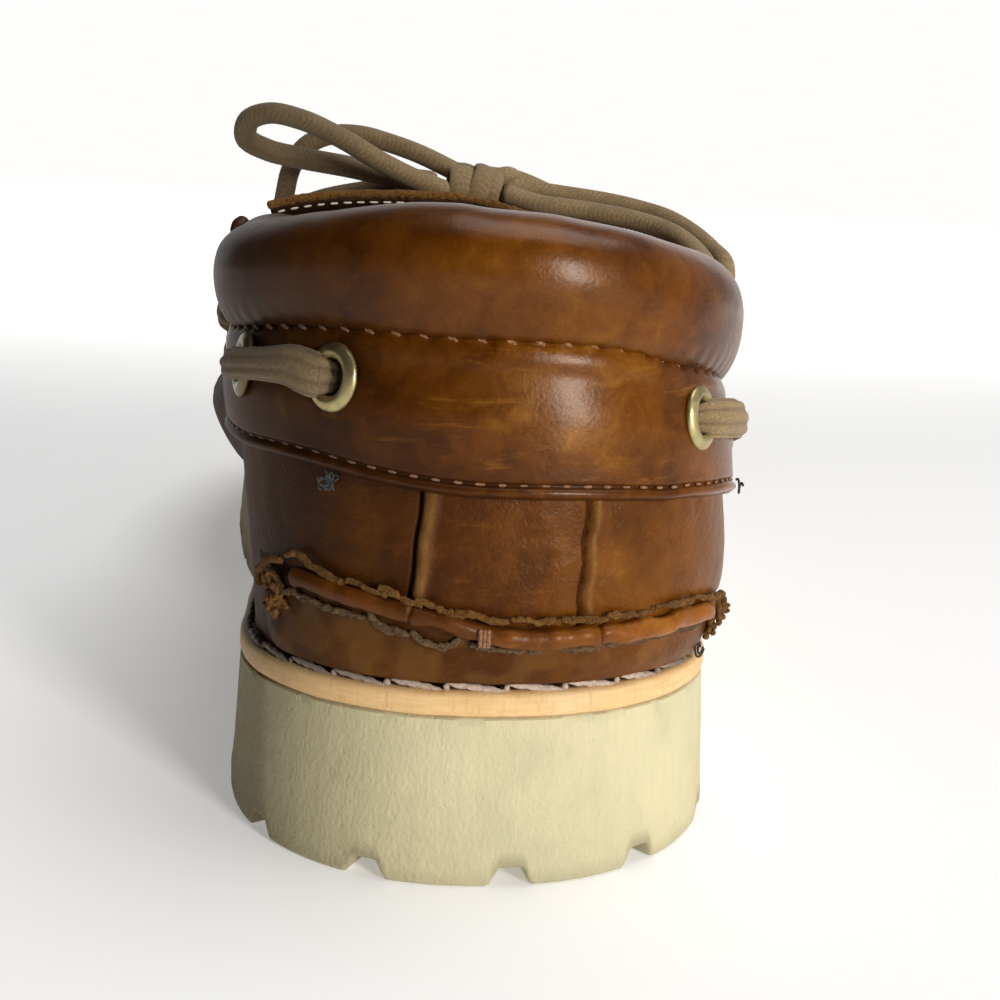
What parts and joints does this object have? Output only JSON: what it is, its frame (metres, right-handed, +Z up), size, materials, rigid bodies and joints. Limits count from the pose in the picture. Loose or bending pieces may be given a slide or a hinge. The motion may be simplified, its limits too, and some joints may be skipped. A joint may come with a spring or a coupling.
{
  "type": "boat shoe",
  "caption": "Right leather boat shoe with a hand-sewn moccasin ridge, a padded collar, side lacing tied in a bow and a thick pale lugged rubber sole.",
  "frame": {"origin": "on the floor, under the middle of the shoe's length and width without its bow", "axes": "+Y towards the toe, +X towards the outer (lateral) side, +Z up"},
  "size_m": [0.1141, 0.3058, 0.1132],
  "materials": {
    "leather": "waxed, pulled-up brown",
    "band_leather": "waxed, semi-gloss brown",
    "rubber": "matte, fine grain",
    "welt_leather": "natural, matte",
    "lining": "matte",
    "braid": "waxed braid",
    "brass": "aged"
  },
  "bodies": {
    "root": {"outsole": "rubber", "midsole": "welt_leather", "insole": "lining", "upper": "leather", "tongue": "lining", "collar": "band_leather", "lace_band": "band_leather", "heel_ridge": "leather", "toe_ridge": "leather", "eyelet_medial_rear_a": "brass", "eyelet_medial_rear_b": "brass", "eyelet_medial_front_a": "brass", "eyelet_medial_front_b": "brass", "eyelet_medial_throat_top": "brass", "eyelet_medial_throat_middle": "brass", "eyelet_medial_throat_bottom": "brass", "eyelet_lateral_rear_a": "brass", "eyelet_lateral_rear_b": "brass", "eyelet_lateral_front_a": "brass", "eyelet_lateral_front_b": "brass", "eyelet_lateral_throat_top": "brass", "eyelet_lateral_throat_middle": "brass", "eyelet_lateral_throat_bottom": "brass", "lace_side_medial_rear": "braid", "lace_side_medial_front": "braid", "lace_side_lateral_rear": "braid", "lace_side_lateral_front": "braid", "lace_bar_middle": "braid", "lace_bar_bottom": "braid", "lace_bar_top_medial": "braid", "lace_bar_top_lateral": "braid", "lace_knot": "braid", "lace_loop_medial": "braid", "lace_loop_lateral": "braid", "lace_end_medial": "braid", "lace_end_lateral": "braid"}
  },
  "joints": []
}
